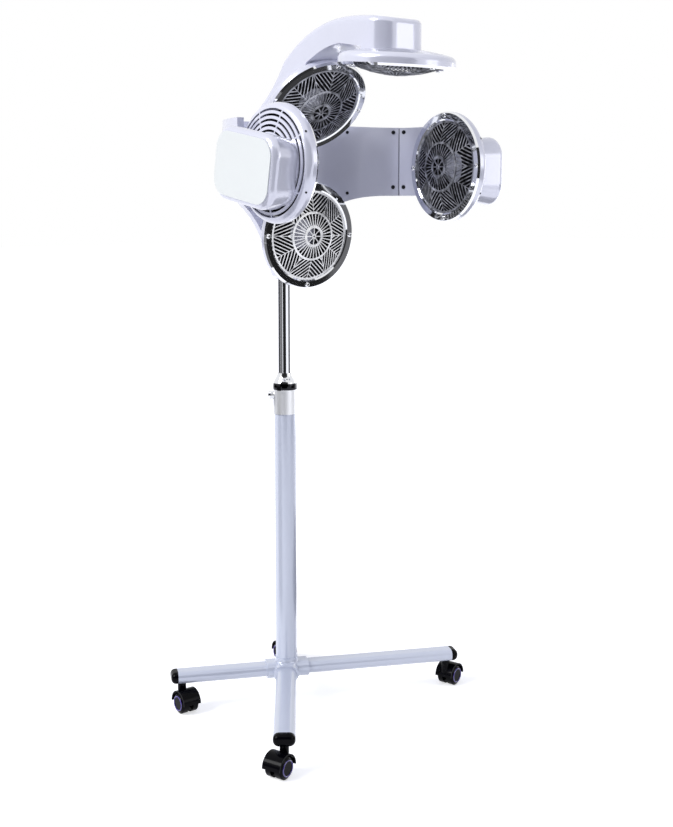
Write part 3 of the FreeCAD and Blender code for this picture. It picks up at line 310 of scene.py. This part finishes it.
def fanned(form, name, count, start, reach=1):
    """Copies of a bar at even turns about the lamp's axis, each from a radius outwards."""
    spots = []
    for i in range(count):
        turn = Matrix.Rotation(2 * math.pi * i / count, 4, "Z")
        stretch = Matrix.Diagonal((reach, 1, 1, 1))
        spots.append(turn @ Matrix.Translation((start, 0, 0)) @ stretch)
    made = copied(form, name, spots)
    remove(form)
    return made


def in_field(x, y, middle):
    """Whether a point lies in the field of bars about this direction."""
    away = math.hypot(x, y)
    swing = (math.degrees(math.atan2(y, x)) - middle + 180) % 360 - 180
    return fan_ring < away < guard_edge and abs(swing) < 180 / fields


short_bar = bar("fan_bar", 1, fan_width, guard_skin, 1)
fan = fanned(short_bar, "fan", fan_bars, hub_ring, fan_ring - hub_ring)

long_bar = bar("field_bar", 1, field_width, guard_skin, 2)
sample_gap, samples_out, rows_out, fewest_samples = 0.0005, 220, 16, 6
guard_bars = []
for field in range(fields):
    middle = 360 / fields * (field + 0.5)
    lean = math.radians(middle + (field_lean if field % 2 else -field_lean))
    along = Vector((math.cos(lean), math.sin(lean)))
    across = Vector((-along.y, along.x))
    for step in range(-rows_out, rows_out + 1):
        base = across * (field_pitch * (step + 0.5))
        inside = []
        for sample in range(-samples_out, samples_out + 1):
            spot = base + along * (sample * sample_gap)
            if in_field(spot.x, spot.y, middle):
                inside.append(sample * sample_gap)
        if len(inside) > fewest_samples:
            start = base + along * inside[0]
            length = inside[-1] - inside[0]
            shift = Matrix.Translation((start.x, start.y, 0))
            turn = Matrix.Rotation(lean, 4, "Z")
            guard_bars.append(shift @ turn @ Matrix.Diagonal((length, 1, 1, 1)))
leaning = copied(long_bar, "leaning", guard_bars)
remove(long_bar)

spoke_start, spoke_length = 0.003, hub_ring - 0.004
spoke = bar("spoke", spoke_length, spoke_width, guard_skin * 1.4, 0)
hub_spokes = fanned(spoke, "hub_spokes", hub_spoke_count, spoke_start)
divider = bar("divider", guard_edge - fan_ring, divider_width, guard_skin * 1.3, 3)
field_edges = fanned(divider, "field_edges", fields, fan_ring)

rings = [
    flat_ring("hub_outer", 0.0185, 0.0245, guard_skin * 1.8, 48),
    flat_ring("hub_inner", 0.0022, 0.0055, guard_skin * 2, 24),
    flat_ring("fan_outer", 0.0502, 0.0548, guard_skin * 1.8, 72),
    flat_ring("guard_rim", 0.0960, 0.1035, guard_skin * 1.2, 96),
]
bpy.ops.object.select_all(action="DESELECT")
for piece in [fan, leaning, hub_spokes, field_edges] + rings:
    piece.select_set(True)
bpy.context.view_layer.objects.active = fan
bpy.ops.object.join()
guard = bpy.context.object
guard.name = "guard_form"
rim_lift = 0.0002
for vertex in guard.data.vertices:
    vertex.co.z += max(guard_height(vertex.co.x, vertex.co.y), rim_lift)
done(guard, 40)

bright_wire = surface(
    "bright_wire", (0.95, 0.955, 0.97), 0.45, metallic=0.8, scale=50, mottle=0.35, grain=0.01
)
# The four guards other than the lower one: their darker, blotchier plating is painted shade with
# painted glints.
painted_shade_wire = surface(
    "painted_shade_wire", (0.56, 0.57, 0.63), 0.42, metallic=0.85, scale=75, mottle=0.85, grain=0.01
)
for name, (place, body) in lamps.items():
    piece = copied(guard, name + "_guard", [place])
    finished(piece, bright_wire if name == "lower" else painted_shade_wire, body)
    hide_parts(name + "_grille")
remove(guard)


# Reflectors and emitters. The bowl is aluminium and the ceramic ring on three feet carries the
# infrared element; both are made nearly black with little shine.

near_black_aluminium = surface(
    "near_black_aluminium", (0.008, 0.008, 0.011), 0.35, metallic=0.5, scale=45, mottle=0.8,
    grain=0.02, also={"Specular IOR Level": 0.12},
)
dress(near_black_aluminium, *ending("_reflector"))
ceramic = surface(
    "ceramic", (0.012, 0.012, 0.013), 0.6, scale=40, mottle=0.3, grain=0.08,
    also={"Specular IOR Level": 0.12},
)
dress(ceramic, *ending("_emitter"))


# Fixings of the side arms and dishes. Black oxide cap screws with a hex socket stand on both
# sides of each hinge seam, at the band's roots and on the dishes' rims; a dark strip seals
# the seam, and the hinge pins inside it are ground steel.

black_steel = surface("black_oxide", (0.02, 0.02, 0.024), 0.35, metallic=0.6, grain=0.03)


def cap_screw(name, radius, height):
    """A cap screw with a socket, standing on Z = 0."""
    chamfer, crown, wall, socket_depth = radius * 0.12, height * 0.2, radius * 0.4, height * 0.7
    head = screw_blank(name, radius, height)
    edit(head)
    pick(head, "FACE", lambda face: face.normal.z > 0.9)
    bpy.ops.mesh.inset(thickness=chamfer)
    bpy.ops.transform.translate(value=(0, 0, crown))
    bpy.ops.mesh.inset(thickness=wall)
    bpy.ops.mesh.extrude_region_move(TRANSFORM_OT_translate={"value": (0, 0, -socket_depth)})
    return done(head, 30)


cap_radius, cap_height = 0.0046, 0.0014
hinge_screw = cap_screw("hinge_screw_form", cap_radius, cap_height)
band_centre, band_inner, seam, proud = Vector((0, -0.25, 0)), 0.255, 26.4, 0.0002
arm_swing, root_swing, hinge_heights = -2.7, 3.2, (1.228, 1.353)
root_screw_angle, root_screw_size, root_screw_heights = 54.2, 0.8, (1.2145, 1.3545)


def on_band(sign, angle, height, size=1):
    """A screw's place on the band's inner face, at an angle from the side it is on."""
    angle = math.radians(angle)
    out = Vector((sign * math.cos(angle), math.sin(angle), 0))
    spot = band_centre + out * (band_inner + proud) + Vector((0, 0, height))
    turn = (-out).to_track_quat("Z", "Y").to_matrix().to_4x4()
    return Matrix.Translation(spot) @ turn @ Matrix.Scale(size, 4)


for side, sign in (("right", 1), ("left", -1)):
    for where, swing, body in (("arm", arm_swing, side + "_arm"), ("root", root_swing, "hood")):
        spots = [on_band(sign, seam + swing, height) for height in hinge_heights]
        screws = copied(hinge_screw, side + "_hinge_screws_" + where, spots)
        finished(screws, black_steel, body)
    spots = []
    for height in root_screw_heights:
        spots.append(on_band(sign, root_screw_angle, height, root_screw_size))
    screws = copied(hinge_screw, side + "_band_screws", spots)
    finished(screws, black_steel, "hood")

dish_edge, dish_edge_back, dish_edge_lean = 0.1183, -0.0146, 118
dish_screw_swing, dish_screw_size = 29.5, 0.5
for side, front in (("left", 180), ("right", 0)):
    place, body = lamps[side]
    spots = []
    for turn in (front - dish_screw_swing, front + dish_screw_swing):
        out = Matrix.Rotation(math.radians(turn), 4, "Z")
        rim = Matrix.Translation((dish_edge, 0, dish_edge_back))
        lean = Matrix.Rotation(math.radians(dish_edge_lean), 4, "Y")
        spots.append(place @ out @ rim @ lean @ Matrix.Scale(dish_screw_size, 4))
    screws = copied(hinge_screw, side + "_dish_screws", spots)
    finished(screws, black_steel, body)
remove(hinge_screw)

seam_low, seam_high, seam_width = 1.209, 1.3615, 0.0011
seal_thick, seal_rounding = 0.0012, 0.0002
for side, sign in (("right", 1), ("left", -1)):
    strip = blank(side + "_seam_seal", bpy.ops.mesh.primitive_cube_add, size=1)
    strip.scale = (seal_thick, seam_width, seam_high - seam_low)
    edit(strip)
    bpy.ops.mesh.select_all(action="SELECT")
    bpy.ops.mesh.bevel(offset=seal_rounding, segments=1, affect="EDGES")
    bpy.ops.object.mode_set(mode="OBJECT")
    angle = math.radians(seam)
    out = Vector((sign * math.cos(angle) * band_inner, math.sin(angle) * band_inner, 0))
    strip.location = band_centre + out + Vector((0, 0, (seam_low + seam_high) / 2))
    strip.rotation_euler = (0, 0, sign * angle)
    done(strip)
    finished(strip, black_steel, "hood")

steel = surface("ground_steel", (0.55, 0.56, 0.58), 0.3, metallic=1.0, scale=30)
dress(steel, "left_hinge_pin", "right_hinge_pin")


# Rear cover with the mains inlet and rocker. Black glass-filled nylon with a fine spark
# texture, screwed into the hood's back; the rocker is polished and snaps in.

black_nylon = surface(
    "black_nylon", (0.016, 0.016, 0.019), 0.42, scale=30, mottle=0.2, grain=0.1,
    also={"Specular IOR Level": 0.3},
)
dress(black_nylon, "rear_cover", "power_inlet")
black_gloss = surface(
    "black_gloss", (0.0016, 0.0016, 0.003), 0.12, scale=25, mottle=0.2,
    also={"Specular IOR Level": 0.07},
)
dress(black_gloss, "power_rocker")


# Post, clamp collar and lever. Drawn steel tube and a turned collar, chrome plated: satin
# on the collar's skirt and a mirror elsewhere. The black ring above the skirt is a painted
# reflection, a darkened band in the collar's colour. A nylon bush and guide carry the post
# inside the column.

tube_chrome = surface(
    "tube_chrome", (0.80, 0.81, 0.84), 0.05, metallic=1.0, mottle=0.05, grain=0.003
)
dress(tube_chrome, "post", "clamp_lever")

satin_top, mirror_foot, satin_rough, mirror_rough = 0.757, 0.759, 0.42, 0.05
# Heights, edge fade and tone of the painted reflection, a black ring on the collar.
painted_ring_foot, painted_ring_top, painted_ring_fade, painted_reflection_tone = 0.7585, 0.775, 0.06, (0.03, 0.03, 0.033, 1)
collar_chrome = surface(
    "collar_chrome", (0.83, 0.84, 0.87), mirror_rough, metallic=1.0, mottle=0.05, grain=0.003
)
tree = collar_chrome.node_tree
skin = tree.nodes["Principled BSDF"]
place = tree.nodes.new("ShaderNodeTexCoord")
height = tree.nodes.new("ShaderNodeSeparateXYZ")
tree.links.new(place.outputs["Object"], height.inputs["Vector"])
brushed = tree.nodes.new("ShaderNodeMapRange")
brushed.inputs["From Min"].default_value = satin_top
brushed.inputs["From Max"].default_value = mirror_foot
brushed.inputs["To Min"].default_value = satin_rough
brushed.inputs["To Max"].default_value = mirror_rough
tree.links.new(height.outputs["Z"], brushed.inputs["Value"])
tree.links.new(brushed.outputs["Result"], skin.inputs["Roughness"])
# Painted reflection: a band by height where the collar's colour goes dark.
painted_ring_height = tree.nodes.new("ShaderNodeMapRange")
painted_ring_height.inputs["From Min"].default_value = painted_ring_foot
painted_ring_height.inputs["From Max"].default_value = painted_ring_top
tree.links.new(height.outputs["Z"], painted_ring_height.inputs["Value"])
ring = tree.nodes.new("ShaderNodeValToRGB")
for stop in ring.color_ramp.elements:
    stop.color = (1, 1, 1, 1)
for spot in (painted_ring_fade, 1 - painted_ring_fade):
    ring.color_ramp.elements.new(spot).color = painted_reflection_tone
tree.links.new(painted_ring_height.outputs["Result"], ring.inputs["Fac"])
# Multiplies the painted reflection's dark band into the collar's colour.
shade = tree.nodes.new("ShaderNodeMix")
shade.data_type = "RGBA"
shade.blend_type = "MULTIPLY"
shade.inputs["Factor"].default_value = 1
tree.links.new(skin.inputs["Base Color"].links[0].from_socket, shade.inputs["A"])
tree.links.new(ring.outputs["Color"], shade.inputs["B"])
tree.links.new(shade.outputs["Result"], skin.inputs["Base Color"])
dress(collar_chrome, "clamp_collar")

white_nylon = surface("white_nylon", (0.78, 0.78, 0.74), 0.5)
dress(white_nylon, "post_guide", "column_bush")


# Column, hub and legs. Steel tubes set in the sockets of a cast hub, all powder coated in
# one glossy cool white.

powder_coat = surface(
    "powder_coat", (0.64, 0.68, 0.79), 0.22, metallic=0.18, scale=6, mottle=0.025, grain=0.03,
    also={"Coat Weight": 0.4, "Coat Roughness": 0.1},
)
legs = ("front_left", "front_right", "rear_left", "rear_right")
dress(powder_coat, "column", "base_hub", *["leg_" + name for name in legs])


# Leg end caps and casters. Moulded black nylon, the caps pushed into the tubes and the
# casters' stems pushed up into the caps. Each wheel face has a ring round the hub, coloured violet
# as a painted glint.

for kind in ("leg_cap_", "caster_frame_", "caster_wheels_"):
    dress(black_gloss, *[kind + name for name in legs])

hub_bead, bead_thick, hub_face = 0.0165, 0.0015, 0.0226
caster_turns = {"front_right": 16.6, "front_left": -160, "rear_right": 83.5, "rear_left": -89.6}
# The violet of the hub rings is a painted glint.
violet_glint = surface(
    "painted_violet_glint", (0.06, 0.03, 0.34), 0.12, mottle=0.3, scale=60, also={"Coat Weight": 0.8}
)
for name, turned in caster_turns.items():
    corners = [Vector(corner) for corner in nodes["caster_wheels_" + name].bound_box]
    hub = sum(corners, Vector()) / 8
    bead = blank(
        "bead_form", bpy.ops.mesh.primitive_torus_add,
        major_radius=hub_bead, minor_radius=bead_thick, major_segments=48, minor_segments=10,
    )
    swivel = Matrix.Rotation(math.radians(turned), 4, "Z")
    spots = []
    for face in (90, -90):
        over = Matrix.Rotation(math.radians(face), 4, "X")
        outwards = Matrix.Translation((0, 0, hub_face))
        spots.append(Matrix.Translation(hub) @ swivel @ over @ outwards)
    beads = copied(bead, "hub_beads_" + name, spots)
    remove(bead)
    done(beads)
    finished(beads, violet_glint, "wheels_" + name)


# Studio. A pale floor and plain white surroundings that mirrors see too, a soft key from the
# left and above, and two weak area lamps at the front and the right.

def seen_by(tree, *kinds):
    """One for these kinds of rays and nought for the rest."""
    rays = tree.nodes.new("ShaderNodeLightPath")
    largest = rays.outputs[kinds[0]]
    for kind in kinds[1:]:
        larger = tree.nodes.new("ShaderNodeMath")
        larger.operation = "MAXIMUM"
        tree.links.new(largest, larger.inputs[0])
        tree.links.new(rays.outputs[kind], larger.inputs[1])
        largest = larger.outputs["Value"]
    return largest


floor = blank("floor", bpy.ops.mesh.primitive_plane_add, size=60)
paper_white, paper_glow = 0.82, 0.6
paper = bpy.data.materials.new("paper")
paper.use_nodes = True
tree = paper.node_tree
tree.nodes.clear()
plain = tree.nodes.new("ShaderNodeBsdfDiffuse")
plain.inputs["Color"].default_value = (paper_white, paper_white, paper_white, 1)
glow = tree.nodes.new("ShaderNodeEmission")
glow.inputs["Color"].default_value = (1, 1, 1, 1)
part = tree.nodes.new("ShaderNodeMath")
part.operation = "MULTIPLY"
part.inputs[1].default_value = paper_glow
tree.links.new(seen_by(tree, "Is Camera Ray", "Is Glossy Ray"), part.inputs[0])
tree.links.new(part.outputs["Value"], glow.inputs["Strength"])
mix = tree.nodes.new("ShaderNodeAddShader")
tree.links.new(plain.outputs["BSDF"], mix.inputs[0])
tree.links.new(glow.outputs["Emission"], mix.inputs[1])
out = tree.nodes.new("ShaderNodeOutputMaterial")
tree.links.new(mix.outputs["Shader"], out.inputs["Surface"])
floor.data.materials.append(paper)

world = bpy.data.worlds.new("surroundings")
bpy.context.scene.world = world
world.use_nodes = True
tree = world.node_tree
tree.nodes.clear()
fill = tree.nodes.new("ShaderNodeBackground")
fill.inputs["Color"].default_value = (0.80, 0.83, 1.0, 1)
fill.inputs["Strength"].default_value = 0.44
white = tree.nodes.new("ShaderNodeBackground")
white.inputs["Color"].default_value = (1, 1, 1, 1)
white.inputs["Strength"].default_value = 1.0
mix = tree.nodes.new("ShaderNodeMixShader")
direct = seen_by(tree, "Is Camera Ray", "Is Glossy Ray", "Is Transmission Ray")
tree.links.new(direct, mix.inputs["Fac"])
tree.links.new(fill.outputs["Background"], mix.inputs[1])
tree.links.new(white.outputs["Background"], mix.inputs[2])
out = tree.nodes.new("ShaderNodeOutputWorld")
tree.links.new(mix.outputs["Shader"], out.inputs["Surface"])


def lamp_light(name, kind, strength, spot, at, width):
    """A studio lamp at a spot, turned to shine at another."""
    data = bpy.data.lights.new(name, kind)
    data.energy = strength
    light = bpy.data.objects.new(name, data)
    bpy.context.scene.collection.objects.link(light)
    light.location = spot
    light.rotation_euler = (Vector(at) - Vector(spot)).to_track_quat("-Z", "Y").to_euler()
    if kind == "SUN":
        data.angle = width
    else:
        data.size = width


lamp_light("key", "SUN", 2.1, (-4, 0.6, 4.2), (0, 0, 1), 0.5)
lamp_light("front", "AREA", 13, (1.8, -3.2, 1.6), (0, -0.2, 1.1), 1.6)
lamp_light("rim", "AREA", 12, (2.6, 0.4, 0.9), (0, 0, 0.8), 1.4)


# Studio cards, dark and grey. Six stand round the machine and two lie beside it. Only
# mirrors see them: they give plated metal its black and grey bands.

def card(name, shade, corners):
    """A flat card through four corners, seen only in reflections."""
    made = blank(name, bpy.ops.mesh.primitive_plane_add, size=2)
    for vertex, corner in zip(made.data.vertices, corners):
        vertex.co = corner
    dark = bpy.data.materials.new(name)
    dark.use_nodes = True
    dark.node_tree.nodes.clear()
    shine = dark.node_tree.nodes.new("ShaderNodeEmission")
    shine.inputs["Color"].default_value = (shade, shade, shade * 1.04, 1)
    end = dark.node_tree.nodes.new("ShaderNodeOutputMaterial")
    dark.node_tree.links.new(shine.outputs["Emission"], end.inputs["Surface"])
    made.data.materials.append(dark)
    made.visible_camera = False
    made.visible_diffuse = False
    made.visible_shadow = False
    made.visible_transmission = False


def standing(name, shade, start, end, low, high):
    """A card standing between two bearings from the machine, in degrees from +X."""
    away = 3.7
    ends = []
    for bearing in (start, end):
        turned = math.radians(bearing)
        ends.append((away * math.cos(turned), away * math.sin(turned)))
    (x0, y0), (x1, y1) = ends
    card(name, shade, ((x0, y0, low), (x1, y1, low), (x0, y0, high), (x1, y1, high)))


def lying(name, shade, height, *corners):
    """A card lying flat at a height."""
    card(name, shade, [(x, y, height) for x, y in corners])


standing("card_back_left", 0.05, 108, 150, 0.2, 0.98)
standing("card_left", 0.22, 152, 196, 0.02, 0.85)
standing("card_camera", 0.02, 204, 256, 0.02, 3.2)
standing("card_high", 0.03, 186, 268, 0.82, 3.2)
standing("card_front_right", 0.015, 298, 307, 0.02, 1.15)
standing("card_right", 0.17, 307, 332, 0.02, 1.15)
lying("card_floor_left", 0.2, 0.02, (-0.7, 0.42), (-3.4, 2.0), (-0.62, -0.2), (-3.4, -0.9))
lying("card_floor", 0.05, 0.03, (0.55, -0.7), (1.7, -0.7), (0.55, 0.5), (1.7, 0.5))


# Camera. It stands in front and to the left of the machine, a little below the height of a
# seated client's head, and looks slightly down.

frame_width, focal_length, frame_shift = 673, 1262.98, -50.68
eye = bpy.data.cameras.new("eye")
eye.sensor_fit = "HORIZONTAL"
eye.sensor_width = 36
eye.lens = 36 * focal_length / frame_width
eye.shift_y = frame_shift / frame_width
camera = bpy.data.objects.new("camera", eye)
bpy.context.scene.collection.objects.link(camera)
camera.location = (-1.6445, -2.4269, 1.1917)
camera.rotation_euler = Vector((0.5898, 0.7977, -0.1256)).to_track_quat("-Z", "Y").to_euler()
bpy.context.scene.camera = camera
bpy.context.scene.view_settings.view_transform = "Standard"
